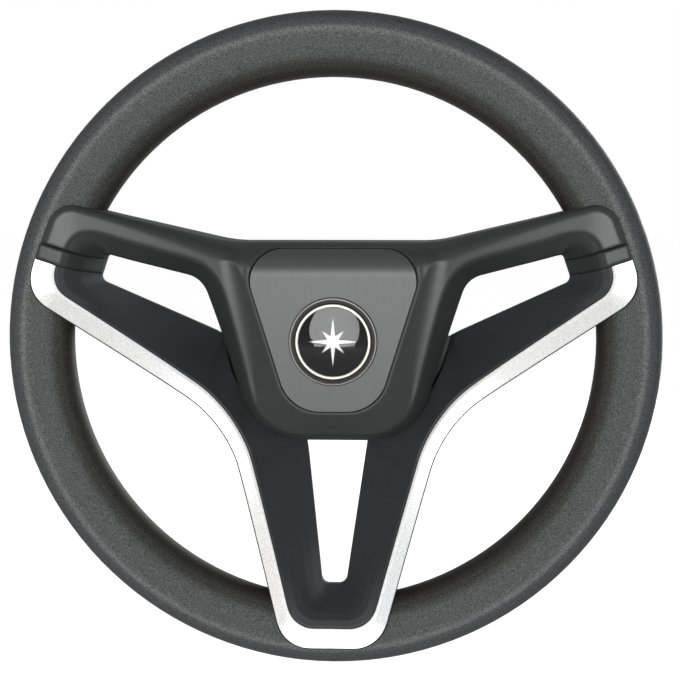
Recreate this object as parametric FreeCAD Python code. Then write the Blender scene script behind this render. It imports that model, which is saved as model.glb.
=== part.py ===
"""Boat steering wheel, 350 mm across the rim, with a tapered hub.

The wheel stands upright in the XZ plane and its front faces -Y. The origin is the centre of the
hub's rear face. Depths are given as t, in millimetres behind the middle plane of the rim, and
the function at() turns them into places in the frame of the wheel. Outlines hold the right half
of the wheel, and the left half is its mirror image.
"""
import FreeCAD, Part
import math
import os
from FreeCAD import Vector

# Rim
RIM_DIAMETER = 350.0
GRIP_DIAMETER = 35.0
CORE_DIAMETER = 12.0
RIM_RADIUS = (RIM_DIAMETER - GRIP_DIAMETER) / 2
SETBACK = 62.0
CLEARANCE = 0.15
FAR = 90.0
SAMPLES, LOFT_SAMPLES = 7, 5

# Dish of the spokes: distance from the axis and depth, front and back
FRONT_DISH = ((0.0, 12.0), (78.0, 12.0), (86.0, 8.6), (147.0, -22.6), (152.0, -24.0), (200.0, -24.0))
BACK_DISH = ((0.0, 51.0), (69.0, 51.0), (131.0, 16.0), (160.0, 8.0), (200.0, 8.0))
ARMATURE_DISH = ((0.0, 35.0), (62.0, 35.0), (125.0, 10.5), (RIM_RADIUS, 0.0), (200.0, 0.0))

# Seams at the end lobes, parallel lines: x and z of one point on each, and their slope
SEAM_SLOPE = 0.33
COVER_SEAM = (140.8, 49.0)
TRIM_SEAM = (143.5, 40.6)
STRIP_START = (139.8, 52.0)
SEAM_GAP = 0.3


def on_seam(seam, x):
    """Point of a seam line at x, as the sharp end of an outline."""
    return x, seam[1] + SEAM_SLOPE * (x - seam[0]), 0


# Outlines seen from the front: x, z and the radius of each corner
TRIM_INNER = (on_seam(STRIP_START, 141.4), (147.8, 30.0, 14), (53.2, -41.5, 84),
              (20.5, -151.4, 15), (0, -151.4, 0))
TRIM_OUTER = (on_seam(STRIP_START, 152.0), (161.0, 26.7, 18), (59.3, -47.5, 75),
              (25.2, -161.9, 18.5), (0, -161.9, 0))
WINDOW_FAR = (on_seam(STRIP_START, 122.9), (127.8, 32.0, 4), (64.0, -0.8, 0))
WINDOW_LOW = ((17.5, -58.0, 0), (6.4, -135.0, 4.5), (0, -135.0, 0))
SKIRT_BOW = Vector(47.0, 0, -37.0)
FACE_EDGE = (on_seam(TRIM_SEAM, 142.1), (136.5, 62.5, 13), (62.4, 39.9, 26), (38.1, -51.6, 28),
             (0, -51.6, 0))
WINDOW_LIP = (on_seam(TRIM_SEAM, 125.4), (122.6, 47.3, 4.2), (71.6, 33.0, 14), (43.6, -56.4, 34),
              (0, -56.4, 0))
COVER_OUTLINE = ((0, -56.4, 0), (43.6, -56.4, 34), (71.6, 33.0, 14), (122.6, 47.3, 4.2),
                 on_seam(COVER_SEAM, 124.0), on_seam(COVER_SEAM, 153.3), (145.2, 75.2, 13),
                 (56.0, 52.6, 70), (0, 52.6, 0))
CAP_OUTLINE = ((0, -37.7, 0), (23.2, -37.7, 22), (50.6, 49.2, 17.3), (0, 49.2, 0))
BEZEL_OUTLINE = ((0, -51.6, 0), (38.1, -51.6, 28), (67.0, 57.0, 5), (0, 57.0, 0))

# Depths of the faces of the cover
ARM_FACE = ((0.0, 9.86, 0), (142.3, -23.0, 90), (200.0, -24.0, 0), (200.0, FAR, 0), (0.0, FAR, 0))
CAP_FACE = -6.0
BEZEL_FOOT = 0.5
ROLL_TOP = 52.6
ROLL_RADIUS = 18.1
BOSS_BACK = 28.0
LIP_FAR, LIP_HUB = 12.0, 18.0
LIP_ARM = ((70.0, 9.0), (76.0, 6.6), (111.0, -6.6), (124.0, -9.0))
LIP_CORNER, LIP_CORNER_Z = 121.0, (43.5, 47.0)
LIP_HUB_Z = (5.0, 30.0)
BEZEL_END = (58.5, 74.5)

# Soft forms of the cover: the roll at the window edge, with the slant at which its space leaves
# the face, and the hollow curve between bezel and arm as pairs of height and radius
EDGE_ROLL = 4.0
ROLL_SLANT = 0.12
ROLL_REACH = 5.0
LIP_OVERRUN = 1.5
VALLEY = ((-40.0, 0.6), (-28.0, 3.0), (-5.0, 14.0), (25.0, 20.0), (60.0, 20.0))
VALLEY_SPAN = 4.0
VALLEY_SINK = 0.03
VALLEY_ROOT = 6.0

# Walls, seats and trim
WALL = 2.4
BOSS_WALL = 5.2
FUNNEL_WALL = 2.0
OVERRUN = 0.3
BEZEL_LAND = 0.5
BEZEL_SPREAD = 3.0
BACK_THICKNESS = 2.6
WINDOW_SILL = 5.0
BOW_RISE = 19.0
BOW_REACH = (18.0, 36.0)
TRIM_THICKNESS = 2.0
TRIM_BEVEL = 1.8
BEVEL_DROP = 0.9
TAPE_THICKNESS = 0.5
TAPE_MARGIN = 1.2
GROOVE = 0.3
LIP_WIDTH = 1.0
LIP_DROP = 0.4
SIDE_FLARE = 1.3
CROWN = 8.0
CROWN_REACH = (118.0, 142.0)
CROWN_TURN = (0.6, 0.9)
ARM_ROLLS = (((23.6, 4.4, 52.6), 13.0, 16.0), ((55.9, -3.1, 53.3), 10.5, 13.0),
             ((98.8, -12.9, 63.4), 4.0, 10.5))

# Centre cap and its gasket
CAP_GAP = 0.35
CAP_THICKNESS = 2.2
GASKET_THICKNESS = 0.8
GASKET_BAND = (1.0, 3.0)
CAP_LEDGE = 4.0
CAP_LEGS = ((0.0, -33.4, -0.9, 0.2), (9.0, 43.2, 1.8, 6.8))
LEG_SIZE = (7.0, 1.8, 14.0)
HOOK = (0.9, 2.0)

# Hub
BUSH_DIAMETER = 34.0
BUSH_FRONT = 27.0
FLANGE_DIAMETER = 74.0
FLANGE = (39.0, 45.0)
TAPER_LARGE = 19.05
TAPER_LENGTH = 25.4
TAPER_RATE = 1.0 / 12.0
RELIEF = (22.0, 5.0)
KEYWAY = (4.76, 2.4)
PLATE_THICKNESS = 8.0
ARM_LEG = ((10.0, 28.0), (RIM_RADIUS - 9.0, 65.5), 12.0)
ROOT_LEG = ((18.0, 0.0), (48.0, -57.0), 14.0)
LOW_LEG = ((48.0, -57.0), (16.5, -156.5), 11.0)

# Shroud round the bush: radius and depth of its profile
SHROUD = ((17.2, 59.5), (23.0, 59.5), (25.0, 58.8), (39.8, 52.4), (42.0, 51.0), (39.3, 51.0),
          (39.3, 46.6), (37.2, 46.6), (37.2, 51.2), (22.8, 57.3), (17.2, 57.3))
SEAL_DIAMETERS = (38.4, BUSH_DIAMETER)
SEAL_DEPTH = (55.2, 57.3)
BACK_HOLE = 78.7

# Emblem
CUP_DIAMETER = 47.2
CUP_PROFILE = ((0.0, -6.5), (18.8, -6.5), (18.9, -7.5), (20.5, -7.5), (20.8, -6.6), (22.5, -6.6),
               (22.7, -7.6), (23.3, -7.6), (23.6, -7.2), (23.6, -5.2), (0.0, -5.2))
DISC_RADIUS = 18.6
DISC_THICKNESS = 0.4
DOME_HEIGHT = 1.7

# Screws: head diameter, head height, shank diameter and length, and places on the right half;
# the socket as shares of the head's diameter and height, and the room round and behind a head
SCREW = (7.6, 3.0, 3.9, 12.0)
COVER_SCREWS = ((70.0, 44.2), (118.0, 57.2))
FRAME_SCREWS = ((39.6, -83.5), (24.5, -131.0))
BACK_SCREW = (7.6, 3.0, 3.9, 16.0)
BACK_SCREWS = ((86.0, 48.6), (104.0, 53.5), (45.8, -64.0), (32.5, -106.0))
SOCKET_RADIUS, SOCKET_FLOOR = 0.26, 0.4
SEAT_SINK = 0.5
HEAD_SINK = 0.4
HEAD_ROOM = 0.6
BOSS_DIAMETER = 9.0
POST_DIAMETER = 11.0
HUB_SCREW = (10.0, 5.0, 6.0, 13.5)
HUB_SCREW_CIRCLE = 56.0
HUB_SCREWS = 6


def at(x, t, z):
    """Place of a point that lies t behind the middle plane of the rim."""
    return Vector(x, t - SETBACK, z)


def share_of(limits, value):
    """How far a value has come from the first limit to the second, between 0 and 1."""
    first, second = limits
    return min(max((value - first) / (second - first), 0), 1)


def dish_depth(dish, point):
    """Depth of a dish at a plan point."""
    distance = math.hypot(point.x, point.z)
    for (start, first), (end, last) in zip(dish, dish[1:]):
        if distance <= end:
            return first + (last - first) * (distance - start) / (end - start)
    return dish[-1][1]


def stretches(corners):
    """Straight and round stretches of a path with rounded corners, as plan curves."""
    points = [Vector(x, 0, z) for x, z, _ in corners]
    curves = []
    start = points[0]
    for before, corner, after, (_, _, radius) in zip(points, points[1:], points[2:], corners[1:]):
        if not radius:
            curves.append(Part.LineSegment(start, corner))
            start = corner
            continue
        back = (before - corner).normalize()
        ahead = (after - corner).normalize()
        half = back.getAngle(ahead) / 2
        centre = corner + (back + ahead).normalize() * (radius / math.sin(half))
        first = corner + back * (radius / math.tan(half))
        last = corner + ahead * (radius / math.tan(half))
        middle = centre + (corner - centre).normalize() * radius
        curves.append(Part.LineSegment(start, first))
        curves.append(Part.Arc(first, middle, last))
        start = last
    curves.append(Part.LineSegment(start, points[-1]))
    return curves


def outline(corners):
    """Closed plan wire through rounded corners; the first corner stays sharp."""
    closed = list(corners) + [corners[0]]
    return Part.Wire([curve.toShape() for curve in stretches(closed)])


def prism(wire, front, back):
    """Solid between two depths with a plan wire as its outline."""
    face = Part.Face(wire)
    face.translate(at(0, front, 0))
    return face.extrude(Vector(0, back - front, 0))


def top_slab(corners):
    """Solid of full height whose outline in x and t is seen from above."""
    wire = outline(corners)
    wire.rotate(Vector(0, 0, 0), Vector(1, 0, 0), -90)
    face = Part.Face(wire)
    face.translate(at(0, 0, -2 * FAR))
    return face.extrude(Vector(0, 0, 4 * FAR))


def side_slab(corners):
    """Solid from x = 0 outwards whose outline in t and z is seen from the side."""
    wire = outline(corners)
    wire.rotate(Vector(0, 0, 0), Vector(0, 0, 1), 90)
    face = Part.Face(wire)
    face.translate(at(0, 0, 0))
    return face.extrude(Vector(FAR, 0, 0))


def outward(solid):
    """The solid with its faces turned outwards."""
    if solid.Volume < 0:
        solid.reverse()
    return solid


def turned(profile):
    """Solid turned round the wheel's axis from a profile of radius and depth."""
    corners = [at(radius, t, 0) for radius, t in profile]
    face = Part.Face(Part.makePolygon(corners + corners[:1]))
    return outward(face.revolve(Vector(0, 0, 0), Vector(0, 1, 0), 360))


def ring(outer, inner, front, back):
    """Plain ring round the axis."""
    return turned(((inner / 2, front), (outer / 2, front), (outer / 2, back), (inner / 2, back)))


def disc(diameter, front, back, x=0.0, z=0.0):
    """Plain cylinder parallel to the axis."""
    return Part.makeCylinder(diameter / 2, back - front, at(x, front, z), Vector(0, 1, 0))


def band(dish, front, back):
    """Turned solid between two offsets from a dish."""
    near = [(radius, t + front) for radius, t in dish]
    far = [(radius, t + back) for radius, t in dish]
    return turned(near + far[::-1])


def ahead_of_back(gap):
    """Everything that lies more than a gap in front of the dish of the back."""
    edge = [(radius, t - gap) for radius, t in BACK_DISH]
    return turned(edge + [(BACK_DISH[-1][0], -FAR), (0, -FAR)])


def torus(diameter):
    """Ring of round section on the middle line of the rim."""
    return Part.makeTorus(RIM_RADIUS, diameter / 2, at(0, 0, 0), Vector(0, 1, 0))


def mirrored(shape):
    """The same shape on the other side of the wheel."""
    return shape.mirror(Vector(0, 0, 0), Vector(1, 0, 0))


def both_sides(half):
    """One solid from a half that meets its mirror image at x = 0."""
    return half.fuse(mirrored(half)).removeSplitter()


def group(solids):
    """Separate solids in one node, with their mirror images."""
    return Part.makeCompound(solids + [mirrored(solid) for solid in solids])


def beyond_seam(seam, side):
    """Everything above (side 1) or below (side -1) a seam line, right half."""
    near, far = on_seam(seam, -FAR), on_seam(seam, 3 * FAR)
    height = side * 4 * FAR
    corners = (near, far, (far[0], far[1] + height, 0), (near[0], near[1] + height, 0))
    return prism(outline(corners), -FAR, FAR)


def rolled(shape, rolls):
    """Fillets with a radius at each end of an edge; each roll names a place near its edge."""
    document = FreeCAD.newDocument("rolls")
    base = document.addObject("Part::Feature", "base")
    base.Shape = shape
    fillet = document.addObject("Part::Fillet", "fillet")
    fillet.Base = base
    middles = [edge.CenterOfMass for edge in shape.Edges]
    rows = []
    for place, first, last in rolls:
        nearest = min(range(len(middles)), key=lambda index: (middles[index] - place).Length)
        rows.append((nearest + 1, first, last))
    fillet.Edges = rows
    document.recompute()
    result = fillet.Shape.copy()
    FreeCAD.closeDocument(document.Name)
    return result


def samples(curves, count=SAMPLES):
    """Points along each curve of a path."""
    return [curve.toShape().discretize(Number=count) for curve in curves]


def strip(rails):
    """Solid whose section has one corner on each rail; a rail is a list of lists of points."""
    edges = []
    for rail in rails:
        edges.append([])
        for points in rail:
            curve = Part.BSplineCurve()
            curve.interpolate(points)
            edges[-1].append(curve.toShape())
    faces = []
    for first, second in zip(edges, edges[1:] + edges[:1]):
        faces += [Part.makeRuledSurface(a, b) for a, b in zip(first, second)]
    for stretch, end in ((0, 0), (-1, -1)):
        loop = [rail[stretch][end] for rail in rails]
        faces.append(Part.Face(Part.makePolygon(loop + loop[:1])))
    shell = Part.makeShell(faces)
    shell.sewShape()
    return outward(Part.makeSolid(shell))


def rails(stations, section):
    """Rails of a strip; section() gives the section's corners at a station."""
    rows = [[section(*station) for station in zip(*stretch)] for stretch in zip(*stations)]
    count = len(rows[0][0])
    return [[[corners[index] for corners in row] for row in rows] for index in range(count)]


def inset(corners, distance):
    """Outline of a right half drawn in by a distance; its first and last corners stay on x = 0."""
    points = [Vector(x, 0, z) for x, z, _ in corners]
    lines = []
    for start, end in zip(points, points[1:]):
        along = (end - start).normalize()
        lines.append((start + Vector(-along.z, 0, along.x) * distance, along))
    lines = [(Vector(0, 0, 0), Vector(0, 0, 1))] + lines + [(Vector(0, 0, 0), Vector(0, 0, 1))]
    drawn = []
    for (start, along), (other, ahead), (_, _, radius) in zip(lines, lines[1:], corners):
        turn = along.x * ahead.z - along.z * ahead.x
        reach = ((other.x - start.x) * ahead.z - (other.z - start.z) * ahead.x) / turn
        corner = start + along * reach
        rounded = max(radius - math.copysign(distance, turn), 0.5) if radius else 0
        drawn.append((corner.x, corner.z, rounded))
    return drawn


def frame_stations():
    """Matching plan points of the trim's two edges and of the window edge at the back."""
    far = stretches(WINDOW_FAR)
    low = stretches(WINDOW_LOW)
    bow = Part.Arc(far[-1].EndPoint, SKIRT_BOW, low[0].StartPoint)
    return samples(stretches(TRIM_INNER)), samples(stretches(TRIM_OUTER)), samples(far + [bow] + low)


def foot_depth(window):
    """Depth of the foot of the frame's wall, raised where it passes over the armature's leg."""
    beyond = share_of(BOW_REACH, (window - SKIRT_BOW).Length)
    rise = BOW_RISE * (1 + math.cos(math.pi * beyond)) / 2
    return dish_depth(BACK_DISH, window) - WINDOW_SILL - rise


def crown(reach):
    """Rise of the middle of a window wall at a distance from the axis; it is full at the rim."""
    return CROWN * share_of(CROWN_REACH, reach)


def crowned(start, end, share, reach):
    """Point part of the way down a wall, raised towards the front near the rim."""
    point = start + (end - start) * share
    return Vector(point.x, point.y - crown(reach) * 4 * share * (1 - share), point.z)


def basin(inner, outer, window, drop):
    """Shared corners of a frame section, from its outer foot round the back to its front lip."""
    across = (outer - inner).normalize()
    lip = inner - across * (GROOVE + LIP_WIDTH)
    side = outer + across * SIDE_FLARE
    foot = at(window.x, foot_depth(window), window.z)
    top = at(lip.x, dish_depth(FRONT_DISH, inner) + drop, lip.z)
    walls = [crowned(foot, top, share, inner.Length) for share in (0.2, 0.4, 0.6, 0.8)]
    return [at(side.x, FAR, side.z), at(window.x, FAR, window.z), foot] + walls + [top]


def frame_section(inner, outer, window):
    """Section of the lower frame: window wall, lip beside the trim, rebate, outer side."""
    front = dish_depth(FRONT_DISH, inner)
    lip = inner - (outer - inner).normalize() * GROOVE
    return basin(inner, outer, window, LIP_DROP) + [
        at(lip.x, front + LIP_DROP, lip.z), at(lip.x, front + TRIM_THICKNESS, lip.z),
        at(outer.x, front + TRIM_THICKNESS, outer.z)]


def bridge_section(inner, outer, window):
    """Section of the bridge on the rim: the frame's outline with a plain face."""
    front = dish_depth(FRONT_DISH, inner)
    return basin(inner, outer, window, 0) + [at(outer.x, front, outer.z)]


def hollow_section(inner, outer, window):
    """Section of the space inside the lower frame."""
    across = (outer - inner).normalize()
    front = dish_depth(FRONT_DISH, inner) + TRIM_THICKNESS + WALL
    near = inner + across * WALL / 2
    far = outer - across * WALL
    base = window + (outer - window).normalize() * WALL * 1.5
    return (at(far.x, FAR, far.z), at(base.x, FAR, base.z),
            at(base.x, foot_depth(window), base.z),
            at(near.x, front, near.z),
            at(far.x, front, far.z))


def trim_section(inner, outer, _):
    """Section of the trim: flat face with a bevel along its inner edge."""
    across = (outer - inner).normalize()
    front = dish_depth(FRONT_DISH, inner)
    back = front + TRIM_THICKNESS - TAPE_THICKNESS
    bevel = inner + across * TRIM_BEVEL
    return (at(inner.x, back, inner.z), at(inner.x, front + BEVEL_DROP, inner.z),
            at(bevel.x, front, bevel.z), at(outer.x, front, outer.z), at(outer.x, back, outer.z))


def tape_section(inner, outer, _):
    """Section of the foam tape behind the trim."""
    across = (outer - inner).normalize()
    back = dish_depth(FRONT_DISH, inner) + TRIM_THICKNESS
    near = inner + across * TAPE_MARGIN
    far = outer - across * TAPE_MARGIN
    return (at(near.x, back, near.z), at(near.x, back - TAPE_THICKNESS, near.z),
            at(far.x, back - TAPE_THICKNESS, far.z), at(far.x, back, far.z))


def face_depth(point):
    """Depth of the cover's face along its lower edge."""
    (_, root, _), (tip_x, tip, _) = ARM_FACE[:2]
    arm = max(root + (tip - root) * point.x / tip_x, tip)
    return BEZEL_FOOT + (arm - BEZEL_FOOT) * share_of(BEZEL_END, point.x)


def lip_depth(point):
    """Depth at which the sloping wall of the side window turns straight back."""
    if point.x > LIP_CORNER:
        return LIP_FAR + (LIP_ARM[-1][1] - LIP_FAR) * share_of(LIP_CORNER_Z, point.z)
    if point.x > LIP_ARM[0][0]:
        for (start, first), (end, last) in zip(LIP_ARM, LIP_ARM[1:]):
            if point.x <= end:
                return first + (last - first) * (point.x - start) / (end - start)
    return LIP_HUB + (LIP_ARM[0][1] - LIP_HUB) * share_of(LIP_HUB_Z, point.z)


def arm_slope():
    """Change of the depth of the arm's flat face for each millimetre of x."""
    (_, root, _), (tip_x, tip, _) = ARM_FACE[:2]
    return (tip - root) / tip_x


def on_side(corners, z):
    """Place at height z on the long straight side of an outline."""
    (low_x, low_z, _), (high_x, high_z, _) = corners[1:3]
    return low_x + (high_x - low_x) * (z - low_z) / (high_z - low_z)


def tangent_arc(corner, one_way, other_way, radius):
    """Start, middle and end of an arc that touches two directions from a corner."""
    half = one_way.getAngle(other_way) / 2
    middle_way = (one_way + other_way).normalize()
    reach = radius / math.tan(half)
    centre = corner + middle_way * (radius / math.sin(half))
    return corner + one_way * reach, centre - middle_way * radius, corner + other_way * reach


def front_depth(point):
    """Depth of the cover's front along the window edge, with the valley filled in."""
    arm = max(ARM_FACE[0][1] + arm_slope() * point.x, ARM_FACE[1][1])
    spot = Part.Vertex(point)
    to_cap, to_foot = [spot.distToShape(outline(corners))[0]
                       for corners in (CAP_OUTLINE, inset(BEZEL_OUTLINE, BEZEL_LAND))]
    flank = CAP_FACE + (BEZEL_FOOT - CAP_FACE) * to_cap / (to_cap + to_foot)
    overlap = max(VALLEY_SPAN - abs(arm - flank), 0)
    return min(arm, flank) - overlap ** 2 / (4 * VALLEY_SPAN)


def window_section(edge, lip):
    """Section of the space at the window: a slant off the face, a roll and the wall to the lip."""
    inwards = (edge - lip).normalize()
    width = (edge - lip).Length
    level, further = front_depth(edge), front_depth(edge + inwards * ROLL_REACH)
    slope = (further - level) / ROLL_REACH - ROLL_SLANT
    up = Vector(1, slope, 0).normalize()
    down = Vector(-width, lip_depth(lip) - level, 0).normalize()
    first, middle, last = tangent_arc(Vector(0, level, 0), up, down, EDGE_ROLL)
    outer = Vector(ROLL_REACH, level + slope * ROLL_REACH, 0)
    inner = Vector(-width, lip_depth(lip), 0) + down * LIP_OVERRUN

    def place(spot):
        plan = edge + inwards * spot.x
        return at(plan.x, spot.y, plan.z)

    corners = [Vector(outer.x, -FAR, 0), outer, first, last, inner, Vector(inner.x, -FAR, 0)]
    edges = [Part.makeLine(place(a), place(b)) for a, b in zip(corners, corners[1:] + corners[:1])]
    edges[2] = Part.Arc(place(first), place(middle), place(last)).toShape()
    wall = Part.BezierCurve()
    lift = crown(edge.Length) * share_of(CROWN_TURN, inwards.x)
    wall.setPoles([place(last), place((last + inner) / 2 - Vector(0, 2 * lift, 0)), place(inner)])
    edges[3] = wall.toShape()
    return Part.Wire(edges)


def window_space():
    """Space in front of the rolled edge and the sloping walls round the hub and under the arms."""
    pairs = []
    for edges, lips in zip(samples(stretches(FACE_EDGE), LOFT_SAMPLES),
                           samples(stretches(WINDOW_LIP), LOFT_SAMPLES)):
        pairs += list(zip(edges, lips))[1 if pairs else 0:]
    return outward(Part.makeLoft([window_section(*pair) for pair in pairs], True, False))


def funnel(shift):
    """Plain form of the same space for the inside of the walls, moved inwards."""
    def section(edge, lip):
        inwards = (edge - lip).normalize()
        slope = (lip_depth(lip) - face_depth(edge)) / (edge - lip).Length
        front = face_depth(edge) - slope * OVERRUN + shift
        back = lip_depth(lip) + slope * OVERRUN + shift
        edge = edge + inwards * (shift + OVERRUN)
        lip = lip + inwards * (shift - OVERRUN)
        return (at(edge.x, -FAR, edge.z), at(edge.x, front, edge.z), at(lip.x, back, lip.z),
                at(lip.x, -FAR, lip.z))
    return strip(rails((samples(stretches(FACE_EDGE)), samples(stretches(WINDOW_LIP))), section))


def roll_slab(drop):
    """Everything behind the cap's face and its rolled top, sunk by a drop, right half."""
    front, top = CAP_FACE + drop, ROLL_TOP - drop
    return side_slab(((front, -FAR, 0), (front, top, ROLL_RADIUS - drop), (FAR, top, 0),
                      (FAR, -FAR, 0)))


def valley(drop):
    """Filling with a hollow curve where the bezel's flank meets the flat face of the arm."""
    steps = []
    root = ARM_FACE[0][1]
    for z, radius in VALLEY:
        near, far = on_side(CAP_OUTLINE, z), on_side(inset(BEZEL_OUTLINE, BEZEL_LAND), z)
        flank = (BEZEL_FOOT - CAP_FACE) / (far - near)
        x = (root - CAP_FACE + flank * near) / (flank - arm_slope())
        corner = at(x, root + arm_slope() * x + drop + VALLEY_SINK, z)
        towards_cap = Vector(-1, -flank, 0).normalize()
        along_arm = Vector(1, arm_slope(), 0).normalize()
        first, middle, last = tangent_arc(corner, towards_cap, along_arm, radius)
        deep = corner + Vector(0, VALLEY_ROOT, 0)
        steps.append(Part.Wire([Part.Arc(first, middle, last).toShape(),
                                Part.makeLine(last, deep), Part.makeLine(deep, first)]))
    return outward(Part.makeLoft(steps, True, False))


def hub_boss(drop=0.0):
    """Raised bezel round the cap, sunk by a drop; its foot spreads to be trimmed at the window."""
    steps = []
    for corners, t in ((CAP_OUTLINE, CAP_FACE), (inset(BEZEL_OUTLINE, BEZEL_LAND), BEZEL_FOOT)):
        wire = outline(corners)
        wire.translate(at(0, t + drop, 0))
        steps.append(wire)
    foot = prism(outline(inset(BEZEL_OUTLINE, -BEZEL_SPREAD)), BEZEL_FOOT + drop, BOSS_BACK)
    return Part.makeLoft(steps, True, True).fuse(foot).fuse(valley(drop)).common(roll_slab(drop))


def arm_form(drop=0.0):
    """Arm, lobe and hub plan with a flat face and a rolled top edge, drawn in by a drop."""
    face = [(x, t + drop if t < FAR else t, radius) for x, t, radius in ARM_FACE]
    form = prism(outline(inset(COVER_OUTLINE, drop)), -FAR, FAR).common(top_slab(face))
    return rolled(form, [(at(x, t + drop, z - drop), first - drop, last - drop)
                         for (x, t, z), first, last in ARM_ROLLS])


def cover_form():
    """The upper cover as one filled form, right half."""
    return arm_form().fuse(hub_boss()).cut(window_space())


def cover_hollow():
    """Space inside the upper cover, right half."""
    return arm_form(WALL).fuse(hub_boss(BOSS_WALL)).cut(funnel(FUNNEL_WALL))


def frame_form():
    """The lower frame as one filled form, right half."""
    form = strip(rails(frame_stations(), frame_section)).cut(beyond_seam(TRIM_SEAM, 1))
    return form.cut(prism(outline(inset(COVER_OUTLINE, -CLEARANCE)), -FAR, FAR))


def bar(start, end, width):
    """Straight bar in plan, full depth."""
    first, last = Vector(start[0], 0, start[1]), Vector(end[0], 0, end[1])
    side = (last - first).normalize().cross(Vector(0, 1, 0)) * (width / 2)
    loop = [first - side, first + side, last + side, last - side]
    return prism(Part.makePolygon(loop + loop[:1]), -FAR, FAR)


def spider(gap=0.0):
    """Hub plate and four legs of the armature, with a gap all round for the notches."""
    thickness = PLATE_THICKNESS + 2 * gap
    plan = disc(FLANGE_DIAMETER + 2 * gap, -FAR, FAR)
    for start, end, width in (ARM_LEG, ROOT_LEG, LOW_LEG):
        leg = bar(start, end, width + 2 * gap)
        plan = plan.fuse(leg).fuse(mirrored(leg))
    elbow = disc(ROOT_LEG[2] + 2 * gap, -FAR, FAR, *ROOT_LEG[1])
    plan = plan.fuse(elbow).fuse(mirrored(elbow))
    plan = plan.common(disc(2 * RIM_RADIUS, -FAR, FAR))
    return plan.common(band(ARMATURE_DISH, -thickness / 2, thickness / 2)).removeSplitter()


def depth_at(dish, place):
    """Depth of a dish at a plan place given as x and z."""
    return dish_depth(dish, Vector(place[0], 0, place[1]))


def screw(place, seat, size):
    """Cheese-head screw driven towards the front; the seat is the depth under its head."""
    head, height, shank, length = size
    body = disc(head, seat, seat + height, *place).fuse(disc(shank, seat - length, seat, *place))
    radius = head * SOCKET_RADIUS
    corners = [Vector(place[0] + radius * math.cos(math.pi / 3 * k), 0,
                      place[1] + radius * math.sin(math.pi / 3 * k)) for k in range(7)]
    return body.cut(prism(Part.makePolygon(corners), seat + height * SOCKET_FLOOR, FAR))


def inner_screws():
    """Screws through the armature into the upper cover and the lower frame."""
    return group([screw(place, depth_at(ARMATURE_DISH, place) + SEAT_SINK, SCREW)
                  for place in COVER_SCREWS + FRAME_SCREWS])


def back_screws():
    """Screws through the rear cover into the armature."""
    return group([screw(place, depth_at(BACK_DISH, place) - BACK_SCREW[1] - HEAD_SINK, BACK_SCREW)
                  for place in BACK_SCREWS])


def hub_screws():
    """Screws through the flange of the bush into the hub plate."""
    step = 2 * math.pi / HUB_SCREWS
    radius = HUB_SCREW_CIRCLE / 2
    places = [(radius * math.cos(step * k), radius * math.sin(step * k)) for k in range(HUB_SCREWS)]
    return Part.makeCompound([screw(place, FLANGE[1], HUB_SCREW) for place in places])


def bosses(places):
    """Posts from the front of a cover back to the armature, at places on the right half."""
    half = PLATE_THICKNESS / 2
    return [disc(BOSS_DIAMETER, -FAR, depth_at(ARMATURE_DISH, place) - half, *place)
            for place in places]


def seats(places):
    """Room for the heads of the inner screws and for a driver behind them."""
    rooms = [disc(SCREW[0] + HEAD_ROOM, depth_at(ARMATURE_DISH, place) + SEAT_SINK, FAR, *place)
             for place in places]
    return group(rooms)


def rim_core():
    """Steel ring inside the grip."""
    return torus(CORE_DIAMETER)


def rim_grip():
    """Foam grip moulded round the steel ring and the ends of the legs."""
    return torus(GRIP_DIAMETER).cut(torus(CORE_DIAMETER)).cut(spider())


def spoke_armature():
    """Cast spider that joins the steel ring to the bush."""
    body = spider().cut(torus(CORE_DIAMETER)).cut(disc(BUSH_DIAMETER, -FAR, FAR))
    return body.cut(seats(COVER_SCREWS + FRAME_SCREWS)).cut(inner_screws()).cut(back_screws()).cut(
        hub_screws())


def hub_bush():
    """Steel bush with a bolting flange, a tapered bore and a keyway."""
    deep = SETBACK - RELIEF[1]
    front = deep - TAPER_LENGTH
    small = TAPER_LARGE - TAPER_LENGTH * TAPER_RATE
    body = disc(BUSH_DIAMETER, BUSH_FRONT, SETBACK).fuse(disc(FLANGE_DIAMETER, *FLANGE))
    cone = turned(((0, front), (small / 2, front), (TAPER_LARGE / 2, deep), (0, deep)))
    body = body.cut(cone).cut(disc(RELIEF[0], deep, SETBACK)).cut(disc(small, BUSH_FRONT, front))
    width, depth = KEYWAY
    key = Part.makeBox(width, TAPER_LENGTH, depth + TAPER_LARGE / 2, at(-width / 2, front, 0))
    return body.cut(key).cut(hub_screws())


def upper_cover():
    """Arms, end lobes and hub bezel in one moulding, open at the back."""
    hollow = cover_hollow()
    for boss in bosses(COVER_SCREWS):
        hollow = hollow.cut(boss)
    half = cover_form().cut(hollow)
    gap = CAP_GAP
    half = half.cut(prism(outline(inset(CAP_OUTLINE, CAP_LEDGE)), -FAR, FAR))
    pocket = prism(outline(inset(CAP_OUTLINE, -gap)), -FAR, FAR)
    half = half.cut(pocket.cut(roll_slab(CAP_THICKNESS + GASKET_THICKNESS)))
    half = half.common(ahead_of_back(BACK_THICKNESS)).cut(torus(GRIP_DIAMETER + 2 * CLEARANCE))
    return both_sides(half).cut(spider(CLEARANCE)).cut(inner_screws())


def lower_frame():
    """Frame under the arms with the sunk windows and the seat for the trim."""
    hollow = strip(rails(frame_stations(), hollow_section))
    for boss in bosses(FRAME_SCREWS):
        hollow = hollow.cut(boss)
    half = frame_form().cut(hollow).common(ahead_of_back(BACK_THICKNESS))
    half = half.cut(torus(GRIP_DIAMETER + 2 * CLEARANCE))
    return both_sides(half).cut(spider(CLEARANCE)).cut(inner_screws())


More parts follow.
